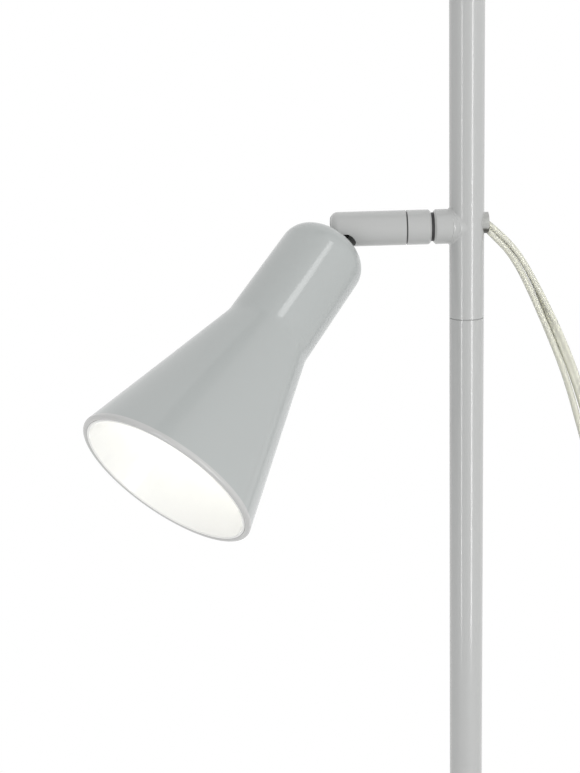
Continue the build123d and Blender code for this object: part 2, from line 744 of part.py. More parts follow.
def along_x(radius, half_length, height):
    """Round bar along X, through a point at a height."""
    return Pos(0, 0, height) * (Rot(0, 90, 0) * Cylinder(radius, 2 * half_length))


def switch_pieces():
    inner = (switch_width - 2 * switch_wall, switch_length - 2 * switch_wall)
    inner_corner = switch_corner - switch_wall
    cover_top = switch_base_height + switch_cover_height
    rocker_places = [Pos(0, side * rocker_spacing / 2, 0) for side in (-1, 1)]
    screw_places = [Pos(side * screw_offset, 0, 0) for side in (-1, 1)]
    wall_front = -switch_length / 2
    relief_places = [
        (Pos(-inlet_spacing / 2, wall_front, inlet_height) * Rot(90, 0, 0)),
        (Pos(inlet_spacing / 2, wall_front, inlet_height) * Rot(90, 0, 0)),
        (Pos(0, -wall_front, inlet_height) * Rot(-90, 0, 0)),
    ]
    boss_bore = disc(screw_radius + slip, cover_top)

    base = rounded_block(switch_width, switch_length, switch_base_height, switch_corner, 0)
    base -= rounded_block(*inner, switch_base_height, inner_corner, switch_wall)
    for place in screw_places:
        base += place * disc(boss_radius, switch_base_height)
        base -= place * boss_bore
        base -= place * disc(screw_head_radius + slip, screw_recess + screw_head_height
                             + 2 * slip)
    for place in relief_places:
        base -= place * disc(relief_neck_radius + slip, 3 * switch_wall, -2 * switch_wall)

    cover = rounded_block(switch_width, switch_length, switch_cover_height, switch_corner,
                          switch_base_height)
    top_edges = cover.edges().group_by(Axis.Z)[-1]
    cover = fillet(top_edges, switch_edge)
    cover -= rounded_block(*inner, switch_cover_height - switch_wall, inner_corner,
                           switch_base_height)
    well = (rocker_width + 2 * rocker_clearance, 2 * (rocker_reach + rocker_clearance))
    well_bottom = rocker_pivot_up - well_drop
    for place in rocker_places:
        cover += place * Pos(0, 0, well_bottom) * Box(
            well[0] + 2 * well_wall, well[1] + 2 * well_wall, cover_top - switch_wall - well_bottom,
            align=ON_FLOOR)
    for place in screw_places:
        cover += place * disc(boss_radius, switch_cover_height - switch_wall, switch_base_height)
        cover -= place * disc(screw_radius, switch_cover_height - 2 * switch_wall,
                              switch_base_height)
    for place in rocker_places:
        cover -= place * Pos(0, 0, well_bottom) * Box(*well, cover_top, align=ON_FLOOR)
        cover -= place * along_x(rocker_pin_radius + running, well[0] / 2 + well_wall,
                                 rocker_pivot_up)

    rocker = Rot(0, 90, 0) * Cylinder(rocker_reach, rocker_width)
    rocker &= Pos(0, 0, -rocker_drop) * Box(rocker_width, 2 * rocker_reach,
                                            rocker_drop + rocker_rise, align=ON_FLOOR)
    dish_up = rocker_rise - rocker_dish_depth + rocker_dish_radius
    rocker -= Pos(0, 0, dish_up) * (Rot(0, 90, 0) * Cylinder(rocker_dish_radius, rocker_width))
    rocker = chamfer(rocker.edges().filter_by(Axis.X).group_by(Axis.Z)[-1], rocker_edge)
    rocker += along_x(rocker_pin_radius, well[0] / 2 + well_wall - 2 * slip, 0)
    rocker = Pos(0, 0, rocker_pivot_up) * (Rot(rocker_rest, 0, 0) * rocker)

    contacts = [place * Pos(side * contact_offset, 0, switch_wall)
                * Box(*contact_size, align=ON_FLOOR)
                for place in rocker_places for side in (-1, 1)]
    screw = disc(screw_head_radius, screw_head_height, screw_recess)
    screw += disc(screw_radius - slip, cover_top - 3 * switch_wall, screw_recess)
    screws = [place * screw for place in screw_places]
    reliefs = [place * relief(relief_length, relief_tip_radius, relief_base_radius,
                              relief_neck_radius, relief_flange_radius, switch_wall)
               for place in relief_places]
    seat = Pos(switch_x, switch_y, 0)
    return {
        "switch_base": seat * base,
        "switch_cover": seat * cover,
        "switch_rocker_uplight": seat * (rocker_places[0] * rocker),
        "switch_rocker_reading": seat * (rocker_places[1] * rocker),
        "switch_contacts": seat * group(*contacts),
        "switch_screws": seat * group(*screws),
        "switch_reliefs": seat * group(*reliefs),
    }


# ---------------------------------------------------------------- mains plug
def plug_pieces():
    half = plug_body_height / 2
    seat = Pos(plug_x, plug_y, half)
    rear = Pos(-plug_body_length / 2, 0, 0) * Box(plug_body_length, plug_body_width,
                                                  plug_body_height)
    nose = Pos(-plug_body_length + plug_nose_length / 2, 0, 0) * Box(
        plug_nose_length, plug_nose_width, plug_body_height)
    body = rear + nose
    body = fillet(body.edges().filter_by(Axis.Z).group_by(Axis.X)[0], plug_nose_corner)
    body = fillet(body.edges().filter_by(Axis.Z).group_by(Axis.X)[-1], plug_tail_corner)
    body = chamfer(body.faces().sort_by(Axis.Z)[-1].edges(), plug_edge)
    neck = relief(plug_relief_length, relief_tip_radius, plug_relief_base_radius,
                  relief_neck_radius, relief_flange_radius, switch_wall)
    neck = Rot(0, 90, 0) * neck
    pocket = Rot(0, -90, 0) * (disc(relief_neck_radius + slip, switch_wall)
                               + disc(relief_flange_radius + slip,
                                      relief_flange_thickness + slip, switch_wall))
    body -= pocket
    pins = []
    for side in (-1, 1):
        place = Pos(-plug_body_length + pin_root, side * pin_spacing / 2, 0)
        pin = Rot(0, -90, 0) * disc(pin_radius, pin_root + pin_length)
        pin = fillet(pin.edges().sort_by(Axis.X)[0], pin_tip_round)
        body -= place * (Rot(0, -90, 0) * disc(pin_radius + slip, pin_root))
        pins.append(place * pin)
    return {"mains_plug": seat * body, "mains_plug_pins": seat * group(*pins),
            "mains_plug_relief": seat * neck}


# ---------------------------------------------------------------- everything
pieces = {}
for maker in (base_pieces, pole_pieces, arm_fixed_pieces, arm_moving_pieces, reading_head_pieces,
              uplight_pieces, exit_pieces, cord_pieces, switch_pieces, plug_pieces):
    pieces.update(maker())

for name, piece in pieces.items():
    export_step(piece, f"parts/{name}.step")

print(len(pieces), "pieces; pole top", pole_top, "arm height", arm_height)
print("pivot", tuple(round(v, 4) for v in (arm_frame * Pos(0, 0, pivot_out)).position))
print("crown top", tuple(round(v, 4) for v in head_frame.position),
      "shade axis", tuple(round(v, 4) for v in Plane(head_frame).z_dir))
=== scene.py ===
"""Torchiere floor lamp with a reading light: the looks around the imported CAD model.

Lengths are in mm, and are multiplied by MM where Blender or a shader takes them, except
where a comment says that they are in metres.
"""
import json
import math

import bmesh
import bpy
from mathutils import Matrix, Quaternion, Vector


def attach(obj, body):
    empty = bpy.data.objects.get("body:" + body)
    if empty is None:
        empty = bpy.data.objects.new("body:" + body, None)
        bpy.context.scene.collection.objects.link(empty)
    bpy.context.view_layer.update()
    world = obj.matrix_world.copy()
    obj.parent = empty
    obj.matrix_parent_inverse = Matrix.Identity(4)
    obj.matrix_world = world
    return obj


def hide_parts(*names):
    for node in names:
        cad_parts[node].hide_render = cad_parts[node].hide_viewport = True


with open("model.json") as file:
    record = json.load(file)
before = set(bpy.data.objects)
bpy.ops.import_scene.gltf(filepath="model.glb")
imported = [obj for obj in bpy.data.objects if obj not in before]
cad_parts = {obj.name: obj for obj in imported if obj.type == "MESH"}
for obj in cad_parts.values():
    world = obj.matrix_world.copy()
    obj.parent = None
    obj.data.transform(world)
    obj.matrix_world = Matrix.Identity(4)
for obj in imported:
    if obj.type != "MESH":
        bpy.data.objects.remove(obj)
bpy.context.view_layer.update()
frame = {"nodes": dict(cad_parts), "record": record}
nodes = frame["nodes"]

MM = 0.001
ARM_HEIGHT = 1156.8
POLE_RADIUS = 9.0
ARM_RADIUS = 9.0

# The reading shade's axis at rest, in metres, from the top of its crown to its mouth
SHADE_START = Vector((-69.9222, -5.6767, 1150.7549)) * MM
SHADE_AXIS = Vector((-0.5329, -0.5793, -0.6168)).normalized()


# ---------------------------------------------------------------- scene helpers
def pick(*objects):
    """Leaves just these objects selected, the first one active."""
    bpy.ops.object.select_all(action="DESELECT")
    for each in objects:
        each.select_set(True)
    bpy.context.view_layer.objects.active = objects[0]


def settle(piece, name):
    """Names a piece and moves its place into its mesh."""
    pick(piece)
    bpy.ops.object.transform_apply(location=True, rotation=True, scale=True)
    piece.name = name
    piece.data.name = name
    return piece


def linked(name, data):
    """New object in the scene, with its data."""
    piece = bpy.data.objects.new(name, data)
    bpy.context.scene.collection.objects.link(piece)
    return piece


def smooth(piece, degrees):
    """Smooth shading, with edges sharper than the angle left as they are."""
    pick(piece)
    bpy.ops.object.shade_smooth_by_angle(angle=math.radians(degrees))


# ---------------------------------------------------------------- shader helpers
def srgb(red, green, blue):
    """Linear colour of a screen colour, 0 to 255."""
    def one(value):
        value /= 255
        return value / 12.92 if value <= 0.04045 else ((value + 0.055) / 1.055) ** 2.4
    return one(red), one(green), one(blue), 1.0


def toned(colour, share):
    """A linear colour made darker or paler."""
    return [min(1.0, channel * share) for channel in colour[:3]] + [1.0]


class Wire:
    """A socket of a node tree; sums on it add Math nodes."""

    def __init__(self, tree, socket):
        self.tree = tree
        self.socket = socket

    def __add__(self, other):
        return self.tree.math("ADD", self, other)

    def __sub__(self, other):
        return self.tree.math("SUBTRACT", self, other)

    def __rsub__(self, other):
        return self.tree.math("SUBTRACT", other, self)

    def __mul__(self, other):
        return self.tree.math("MULTIPLY", self, other)

    def __truediv__(self, other):
        return self.tree.math("DIVIDE", self, other)

    def __pow__(self, other):
        return self.tree.math("POWER", self, other)

    def __abs__(self):
        return self.tree.math("ABSOLUTE", self)

    __radd__ = __add__
    __rmul__ = __mul__

    def clamp(self):
        return self.tree.node("ShaderNodeClamp", {}, {0: self})


class NodeTree:
    """Makes and links the nodes of a material or of the world."""

    def __init__(self, tree):
        self.tree = tree

    def node(self, kind, settings, inputs, output=0):
        """New node with its settings, its sockets' values or links, and one output."""
        made = self.tree.nodes.new(kind)
        for name, value in settings.items():
            setattr(made, name, value)
        for name, value in inputs.items():
            if isinstance(value, Wire):
                self.tree.links.new(value.socket, made.inputs[name])
            else:
                made.inputs[name].default_value = value
        return Wire(self, made.outputs[output])

    def math(self, operation, *values):
        return self.node("ShaderNodeMath", {"operation": operation}, dict(enumerate(values)))

    def vector_math(self, operation, output, *values):
        return self.node("ShaderNodeVectorMath", {"operation": operation},
                         dict(enumerate(values)), output)

    def seen_straight(self):
        """1 where the camera looks, by itself or in a gloss or through something clear."""
        rays = [self.node("ShaderNodeLightPath", {}, {}, ray)
                for ray in ("Is Camera Ray", "Is Glossy Ray", "Is Transmission Ray")]
        return self.math("MAXIMUM", self.math("MAXIMUM", rays[0], rays[1]), rays[2])

    def surface(self, wire):
        """Ends the tree in a shader, in place of its own."""
        ending = next(node for node in self.tree.nodes if node.type.startswith("OUTPUT"))
        self.tree.links.new(wire.socket, ending.inputs["Surface"])


class Finish(NodeTree):
    """A material and its Principled shader, with the values that are the same all over."""

    def __init__(self, name, constants):
        self.material = bpy.data.materials.new(name)
        self.material.use_nodes = True
        super().__init__(self.material.node_tree)
        self.shader = self.tree.nodes["Principled BSDF"]
        for socket, value in constants.items():
            self.shader.inputs[socket].default_value = value

    def place(self):
        """Object coordinates, in metres."""
        return self.node("ShaderNodeTexCoord", {}, {}, "Object")

    def part(self, vector, axis):
        """One number of a vector: its X, Y or Z."""
        return self.node("ShaderNodeSeparateXYZ", {}, {"Vector": vector}, axis)

    def noise(self, scale, detail, roughness=0.5, where=None):
        return self.node("ShaderNodeTexNoise", {},
                         {"Vector": where or self.place(), "Scale": scale, "Detail": detail,
                          "Roughness": roughness}, "Fac")

    def mix(self, factor, first, second):
        return self.node("ShaderNodeMix", {"data_type": "RGBA"},
                         {"Factor": factor, "A": first, "B": second}, "Result")

    def bump(self, height, strength, depth):
        return self.node("ShaderNodeBump", {},
                         {"Strength": strength, "Distance": depth * MM, "Height": height})

    def feed(self, **links):
        for name, wire in links.items():
            self.tree.links.new(wire.socket, self.shader.inputs[name.replace("_", " ")])
        return self.material


# ---------------------------------------------------------------- finishes
GREY = srgb(185, 186, 185)
# Same paint on the two lamp shades, a little cooler and darker: partly a tint, partly painted
# shade for the light they take differently from the pole and arm
LAMPSHADE_GREY_TINTED_AND_SHADED = srgb(177, 181, 180)

# Painted shade in the open joint between the collar and the knuckle: how far out along the arm the
# joint is
JOINT_AT, JOINT_HALF, JOINT_EDGE = 31.45 * MM, 0.42 * MM, 0.08 * MM
JOINT_PAINTED_SHADE = srgb(84, 84, 84)

# Painted sheen on the rolled lip of the reading shade, paler than the rest: how far down its axis
# the lip starts
LIP_FROM, LIP_EDGE = 156.0 * MM, 0.25 * MM
LIP_PAINTED_SHEEN = srgb(196, 196, 195)

# Painted shade on the grommet's lower edge, standing in for the dark hole in the pole and the
# shadow under the cords
HOLE_BELOW, HOLE_BLUR = (ARM_HEIGHT - 0.6) * MM, 900.0
HOLE_PAINTED_SHADE = srgb(92, 91, 84)


def painted(name, colour, roughness=0.45, peel=0.002, joint=False, lip=False):
    """Sprayed paint: even colour with a faint cloudiness, and a fine orange peel.

    Where asked, it has painted shade in the arm's open joint, and a painted sheen that makes the
    reading shade's rolled lip paler.
    """
    made = Finish(name, {"Roughness": roughness, "Coat Weight": 0.7, "Coat Roughness": 0.1})
    cloud = made.noise(scale=9.0, detail=3.0)
    fleck = made.noise(scale=2600.0, detail=1.0)
    tone = made.mix(cloud, toned(colour, 0.965), toned(colour, 1.03))
    tone = made.mix(fleck * 0.12, tone, toned(colour, 0.82))
    # painted shade: the colour darkens in the open joint between collar and knuckle, where shade
    # falls
    if joint:
        out_from_joint = made.part(made.place(), "X") + JOINT_AT
        joint_shade_mask = ((JOINT_HALF - abs(out_from_joint)) / JOINT_EDGE).clamp()
        tone = made.mix(joint_shade_mask, tone, JOINT_PAINTED_SHADE)
    # painted sheen: the lip is made paler, standing in for the light its rolled bead catches
    if lip:
        from_start = made.vector_math("SUBTRACT", "Vector", made.place(), SHADE_START)
        along = made.vector_math("DOT_PRODUCT", "Value", from_start, SHADE_AXIS)
        tone = made.mix(((along - LIP_FROM) / LIP_EDGE).clamp(), tone, LIP_PAINTED_SHEEN)
    wear = made.noise(scale=30.0, detail=4.0) - 0.5
    return made.feed(Base_Color=tone, Roughness=roughness + wear * 0.10,
                     Normal=made.bump(made.noise(scale=620.0, detail=2.0), 1.0, peel))


def moulded(name, colour, roughness, grain=1400.0, depth=0.012, coat=0.0):
    """Moulded plastic: fine spark-eroded grain and slight colour drift."""
    made = Finish(name, {"Roughness": roughness, "Coat Weight": coat})
    drift = made.noise(scale=60.0, detail=3.0)
    wear = made.noise(scale=240.0, detail=3.0) - 0.5
    return made.feed(Base_Color=made.mix(drift, toned(colour, 0.93), toned(colour, 1.05)),
                     Roughness=roughness + wear * 0.16,
                     Normal=made.bump(made.noise(grain, detail=2.0), 1.0, depth))


def metal(name, colour, roughness, brushed):
    """Plated metal with drawn or turned scratches."""
    made = Finish(name, {"Metallic": 1.0, "Roughness": roughness})
    drawn = made.node("ShaderNodeMapping", {}, {"Vector": made.place(), "Scale": (1.0, 1.0, 40.0)})
    scratch = made.noise(scale=160.0, detail=4.0, where=drawn)
    stain = made.noise(scale=120.0, detail=4.0)
    return made.feed(Base_Color=made.mix(stain, toned(colour, 0.82), colour),
                     Roughness=roughness + (scratch - 0.5) * 0.24,
                     Normal=made.bump(scratch, brushed, 0.02))


def lit_globe(name, strength):
    """Opal bulb, lit, with a faint drift in its warmth."""
    made = Finish(name, {"Roughness": 0.35, "Emission Strength": strength,
                         "Base Color": srgb(246, 245, 238)})
    drift = made.noise(scale=25.0, detail=2.0)
    return made.feed(Emission_Color=made.mix(drift, srgb(255, 253, 247), srgb(255, 255, 253)))


def clear_soft(name, colour, roughness, clearness, over_hole=False):
    """Clear soft plastic, faintly cloudy; over the pole's hole, it has painted shade below a
    height for the dark hole and the shadow under the cords.
    """
    made = Finish(name, {"Transmission Weight": clearness, "IOR": 1.45, "Roughness": roughness})
    cloud = made.noise(scale=300.0, detail=3.0)
    tone = made.mix(cloud, toned(colour, 0.94), colour)
    # painted shade: darker below the hole's height, for the dark hole and the shadow under the
    # cords
    if over_hole:
        below = HOLE_BELOW - made.part(made.place(), "Z")
        tone = made.mix((below * HOLE_BLUR).clamp(), tone, HOLE_PAINTED_SHADE)
    return made.feed(Base_Color=tone,
                     Normal=made.bump(made.noise(scale=500.0, detail=2.0), 1.0, 0.01))


def strands(name, colour):
    """Fine bare wires twisted together, with painted shade in the grooves between them; U runs
    along the cord in metres, V round a core.
    """
    made = Finish(name, {"Metallic": 0.08, "Roughness": 0.4})
    spot = made.node("ShaderNodeUVMap", {"uv_map": "along"}, {})
    turn = made.math("FRACT", made.part(spot, "X") * 40.0 + made.part(spot, "Y") * 8.0)
    ridge = 1 - (turn * 2.0 - 1.0) ** 2.0
    # painted shade: the colour falls to two thirds in the grooves between the strands
    return made.feed(Base_Color=made.mix(ridge, toned(colour, 0.66), colour),
                     Normal=made.bump(ridge, 0.3, 0.05))


def cast_iron(name):
    """Rough dark casting."""
    made = Finish(name, {"Roughness": 0.8, "Metallic": 0.3})
    grain = made.noise(scale=260.0, detail=6.0, roughness=0.7)
    return made.feed(Base_Color=made.mix(grain, (0.035, 0.034, 0.033, 1), (0.12, 0.115, 0.11, 1)),
                     Normal=made.bump(grain, 1.0, 0.3))


finishes = {
    "grey_paint": painted("grey_satin_paint", GREY),
    "white_inside": painted("white_inside_paint", srgb(250, 250, 248), roughness=0.5, peel=0.02),
    "cast_iron": cast_iron("cast_weight"),
    "zinc_steel": metal("zinc_plated_steel", srgb(206, 207, 204), 0.36, brushed=0.5),
    "black_nylon": moulded("black_nylon", srgb(40, 40, 41), 0.5),
    "foam_pad": moulded("foam_pad", srgb(52, 52, 53), 0.9, grain=900.0, depth=0.15),
    "clear_rubber": clear_soft("clear_soft_plastic", srgb(216, 217, 213), 0.3, clearness=0.4),
    "clear_cord": clear_soft("clear_cord_jacket", srgb(250, 250, 240), 0.18, clearness=0.5),
    "white_socket": moulded("white_holder", srgb(236, 236, 232), 0.4),
    "brass": metal("brass", srgb(214, 178, 102), 0.3, brushed=0.4),
    "bulb_metal": metal("bright_metal", srgb(222, 222, 220), 0.25, brushed=0.3),
    "bulb_white": moulded("bulb_plastic", srgb(238, 238, 234), 0.42),
    "opal_globe": lit_globe("opal_globe", strength=3.8),
    "grey_switch": moulded("grey_plastic", srgb(184, 187, 186), 0.38, grain=1100.0, depth=0.03),
    "switch_button": moulded("grey_button", srgb(196, 199, 198), 0.34, grain=1600.0, depth=0.003,
                             coat=0.1),
}
# paint for the knuckle and the collar, with painted shade in the joint between them
paint_with_joint_shade = painted("grey_paint_joint_shade", GREY, joint=True)
own_finish = {
    "cord_grommet": clear_soft("clear_grommet_hole_shade", srgb(214, 215, 212), 0.3, clearness=0.4,
                               over_hole=True),
    "knuckle": paint_with_joint_shade,
    "swivel_collar": paint_with_joint_shade,
    "reading_shade": painted("grey_paint_shaded_lip_sheen", LAMPSHADE_GREY_TINTED_AND_SHADED, lip=True),
    "uplight_shade": painted("lampshade_grey_tinted_and_shaded", LAMPSHADE_GREY_TINTED_AND_SHADED),
}
slot_of = {row["node"]: row["material_slot"] for row in frame["record"]["subparts"]}
for node, solid in nodes.items():
    solid.data.materials.clear()
    solid.data.materials.append(own_finish.get(node) or finishes[slot_of[node]])


def dress(piece, body, slot, material=None):
    """Puts a new piece on its body, in its slot's finish or one of its own."""
    piece.data.materials.clear()
    piece.data.materials.append(material or finishes[slot])
    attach(piece, body)
    return piece


# ---------------------------------------------------------------- weld of the arm on the pole
WELD_SINK = 0.03            # how far the weld's edges lie under the tubes' faces
WELD_FILLET = 1.6           # rounding of the crease above and below the arm
WELD_SIDE_FILLET = 0.6      # the same on its sides
WELD_BEAD = 0.19            # height of the bead, and of the ridges on it
WELD_RIDGES = ((0.14, 0.045), (0.58, 0.05))     # place and width, as shares of its breadth
WELD_OUT, WELD_OUT_ABOVE = 8.4, 1.8             # reach along the arm, and more at its top
WELD_ROUND_POLE = math.radians(85)
WELD_ABOVE_ARM, WELD_CORNER = 1.2, 0.6          # reach along the pole, and its outline's power
WELD_TURNS, WELD_STEPS = 160, 40
SEARCH_REACH, SEARCH_TRIES = 3.0, 30


def weld_gap(place, blend):
    """Distance outside the joined arm and pole, with their crease rounded over a blend."""
    to_arm = math.hypot(place.y, place.z) - ARM_RADIUS
    to_pole = math.hypot(place.x, place.y) - POLE_RADIUS
    share = max(0.0, 1 - abs(to_arm - to_pole) / max(blend, 1e-6))
    return min(to_arm, to_pole) - share * share * blend / 4


def weld_place(start, blend, height):
    """Moves a place straight out from where the axes cross, to a height over the blend."""
    way = start.normalized()
    low, high = -SEARCH_REACH, SEARCH_REACH
    for _ in range(SEARCH_TRIES):
        middle = (low + high) / 2
        if weld_gap(start + way * middle, blend) < height:
            low = middle
        else:
            high = middle
    return start + way * low


def arm_weld():
    """Weld where the arm meets the pole: a small fillet, with a low bead on its sides."""
    rows = []
    shape = bmesh.new()
    for index in range(WELD_TURNS):
        angle = 2 * math.pi * (index + 0.5) / WELD_TURNS
        across, up = math.sin(angle), math.cos(angle)
        on_arm = Vector((-WELD_OUT - WELD_OUT_ABOVE * up * up, ARM_RADIUS * across,
                         ARM_RADIUS * up))
        round_pole = WELD_ROUND_POLE * abs(math.asin(across)) / (math.pi / 2)
        on_pole = Vector((-POLE_RADIUS * math.cos(round_pole),
                          math.copysign(POLE_RADIUS * math.sin(round_pole), across),
                          math.copysign((ARM_RADIUS + WELD_ABOVE_ARM) * abs(up) ** WELD_CORNER,
                                        up)))
        fillet = WELD_FILLET * up * up + WELD_SIDE_FILLET * across * across
        row = []
        for step in range(WELD_STEPS + 1):
            share = step / WELD_STEPS
            ridges = sum(math.exp(-((share - ridge) / width) ** 2)
                         for ridge, width in WELD_RIDGES)
            bead = WELD_BEAD * across * across * (ridges + math.sin(math.pi * share) ** 2)
            place = weld_place(on_arm.lerp(on_pole, share), fillet * (1 - (2 * share - 1) ** 4),
                               bead - WELD_SINK)
            row.append(shape.verts.new((place + Vector((0, 0, ARM_HEIGHT))) * MM))
        rows.append(row)
    for row, after in zip(rows, rows[1:] + rows[:1]):
        for step in range(WELD_STEPS):
            shape.faces.new((row[step], row[step + 1], after[step + 1], after[step]))
    mesh = bpy.data.meshes.new("arm_weld")
    shape.to_mesh(mesh)
    shape.free()
    middle = Vector((-ARM_RADIUS / 2, 0, ARM_HEIGHT)) * MM
    if sum(face.normal.dot(face.center - middle) for face in mesh.polygons) < 0:
        mesh.flip_normals()
    piece = linked("arm_weld", mesh)
    smooth(piece, 60)
    dress(piece, "stand", "grey_paint")


arm_weld()

# ---------------------------------------------------------------- reflector's rolled edge
EDGE_RADIUS, EDGE_FRONT = 0.3 * MM, 0.05 * MM   # how thick, and what counts as the very front


def reflector_edge():
    """White edge that closes the seam between the reading reflector and the shade's lip."""
    spots = [vertex.co - SHADE_START for vertex in nodes["reading_reflector"].data.vertices]
    front = max(spot.dot(SHADE_AXIS) for spot in spots)
    radius = max((spot - SHADE_AXIS * spot.dot(SHADE_AXIS)).length for spot in spots
                 if spot.dot(SHADE_AXIS) > front - EDGE_FRONT)
    bpy.ops.object.select_all(action="DESELECT")
    bpy.ops.mesh.primitive_torus_add(
        major_segments=160, minor_segments=12, major_radius=radius, minor_radius=EDGE_RADIUS,
        location=SHADE_START + SHADE_AXIS * front,
        rotation=SHADE_AXIS.to_track_quat("Z", "Y").to_euler())
    edge = settle(bpy.context.object, "reading_reflector_edge")
    smooth(edge, 60)
    dress(edge, "reading_head", "white_inside")


reflector_edge()

# ---------------------------------------------------------------- cords
CORD_WIDTH = 5.4
CORD_THICKNESS = 3.2
CORE_OFFSET = 1.1           # from the cord's middle to each core's
CORE_RADIUS = 1.15
CORE_SIDES = 10
GROOVE_DEPTH = 0.2          # of the jacket, between its two cores
SAME_PLACE = 0.02 * MM      # points of a line that are nearer to each other count as one


def line_through(points):
    """Points in metres along a NURBS spline that has a route's points as control points."""
    curve = bpy.data.curves.new("route", "CURVE")
    curve.dimensions = "3D"
    curve.resolution_u = 8
    spline = curve.splines.new("NURBS")
    spline.points.add(len(points) - 1)
    for control, place in zip(spline.points, points):
        control.co = (*(Vector(place) * MM), 1.0)
    spline.order_u = 3
    spline.use_endpoint_u = True
    holder = linked("route", curve)
    mesh = bpy.data.meshes.new_from_object(holder)
    line = [vertex.co.copy() for vertex in mesh.vertices]
    bpy.data.objects.remove(holder)
    bpy.data.curves.remove(curve)
    bpy.data.meshes.remove(mesh)
    return [here for here, before in zip(line, [None] + line[:-1])
            if before is None or (here - before).length > SAME_PLACE]


def frames_along(line, wide_at):
    """Tangent, wide direction and length so far at each point of a line.

    The wide side is carried along without twist, then turned so that it faces the
    directions in wide_at, each given with its length along the cord in metres.
    """
    tangents = []
    for index in range(len(line)):
        before, after = line[max(index - 1, 0)], line[min(index + 1, len(line) - 1)]
        tangents.append((after - before).normalized())
    lengths = [0.0]
    for before, after in zip(line, line[1:]):
        lengths.append(lengths[-1] + (after - before).length)
    wide = Vector(wide_at[0][1])
    carried = []
    last = tangents[0]
    for tangent in tangents:
        wide = last.rotation_difference(tangent) @ wide
        wide = (wide - tangent * wide.dot(tangent)).normalized()
        carried.append(wide.copy())
        last = tangent
    keys = []
    for length, aim in wide_at:
        index = min(range(len(lengths)), key=lambda i: abs(lengths[i] - length))
        tangent = tangents[index]
        target = Vector(aim) - tangent * Vector(aim).dot(tangent)
        turn = math.atan2(carried[index].cross(target).dot(tangent), carried[index].dot(target))
        if keys:
            turn += math.pi * round((keys[-1][1] - turn) / math.pi)
        keys.append((lengths[index], turn))
    result = []
    for length, tangent, wide in zip(lengths, tangents, carried):
        turn = keys[-1][1]
        for (start, first), (end, second) in zip(keys, keys[1:]):
            if length <= end:
                share = max(0.0, (length - start) / max(end - start, 1e-9))
                share = share * share * (3 - 2 * share)
                turn = first + (second - first) * share
                break
        result.append((tangent, Quaternion(tangent, turn) @ wide, length))
    return result


def swept(name, line, frames, outlines):
    """Mesh of closed outlines swept along a line; outline points are (wide, thick)."""
    shape = bmesh.new()
    along = shape.loops.layers.uv.new("along")
    for outline in outlines:
        rows = []
        for centre, (tangent, wide, _) in zip(line, frames):
            thick = tangent.cross(wide)
            rows.append([shape.verts.new(centre + (wide * w + thick * t) * MM)
                         for w, t in outline])
        count = len(outline)
        for index in range(len(rows) - 1):
            for side in range(count):
                corners = ((index, side), (index, side + 1), (index + 1, side + 1),
                           (index + 1, side))
                face = shape.faces.new([rows[i][j % count] for i, j in corners])
                for loop, (i, j) in zip(face.loops, corners):
                    loop[along].uv = (frames[i][2], j / count)
        shape.faces.new(rows[0][::-1])
        shape.faces.new(rows[-1])
    bmesh.ops.recalc_face_normals(shape, faces=shape.faces)
    mesh = bpy.data.meshes.new(name)
    shape.to_mesh(mesh)
    shape.free()
    piece = linked(name, mesh)
    smooth(piece, 50)
    return piece


def flat_outline():
    """Two round cores side by side in one jacket, with a shallow groove between them."""
    half = CORD_THICKNESS / 2
    arc = [math.radians(a) for a in range(-100, 101, 25)]
    right = [(CORE_OFFSET + half * math.cos(a), half * math.sin(a)) for a in arc]
    left = [(-x, -y) for x, y in right]
    groove = half - GROOVE_DEPTH
    return right + [(0.0, groove)] + left + [(0.0, -groove)]


def core_outline(offset):
    """Round core, off to one side of the cord's middle."""
    angles = [2 * math.pi * step / CORE_SIDES for step in range(CORE_SIDES)]
    return [(offset + CORE_RADIUS * math.cos(a), CORE_RADIUS * math.sin(a)) for a in angles]


wire_strands = strands("tinned_strands_groove_shade", srgb(244, 243, 228))


def flat_cord(name, points, wide_at):
    """Clear jacket and its two wires; returns both and the line that they follow."""
    line = line_through(points)
    frames = frames_along(line, wide_at)
    jacket = swept(f"{name}_jacket", line, frames, [flat_outline()])
    wires = swept(f"{name}_wires", line, frames,
                  [core_outline(-CORE_OFFSET), core_outline(CORE_OFFSET)])
    dress(jacket, "stand", "clear_cord")
    dress(wires, "stand", "zinc_steel", wire_strands)
    return jacket, wires, line


def length_of(line):
    """Length in metres."""
    return sum((after - before).length for before, after in zip(line, line[1:]))


def from_arm(points):
    """Points given from the arm's height."""
    return [(x, y, ARM_HEIGHT + z) for x, y, z in points]


SWITCH_X, INLET_Y, OUTLET_Y = 178.0, 58.0, 186.0
INLET_HEIGHT, INLET_SIDE = 5.8, 6.0     # of the two clear cords, over the floor and off SWITCH_X
reading_points = from_arm([
    (9.6, -0.1, -1.2), (14.2, -0.2, -6.0), (21.6, -0.2, -13.4), (29.3, -0.2, -25.9),
    (41.2, -0.1, -52.4), (52.6, 0.0, -80.6), (61.4, 0.2, -111.5), (74.9, 0.8, -160.0),
    (89.5, 1.4, -217.0), (102.8, 2.0, -275.0), (114.0, 2.5, -333.0), (123.0, 2.8, -391.5),
    (130.0, 2.9, -450.0), (135.4, 2.6, -509.0), (139.6, 2.0, -568.0), (142.9, 1.2, -627.0),
    (145.6, 0.2, -686.0), (148.0, -0.8, -745.0), (150.4, -2.0, -804.0), (153.0, -3.4, -863.0),
    (156.2, -5.0, -921.0), (160.2, -6.4, -979.0), (164.8, -7.6, -1034.0), (168.6, -7.0, -1078.0),
])
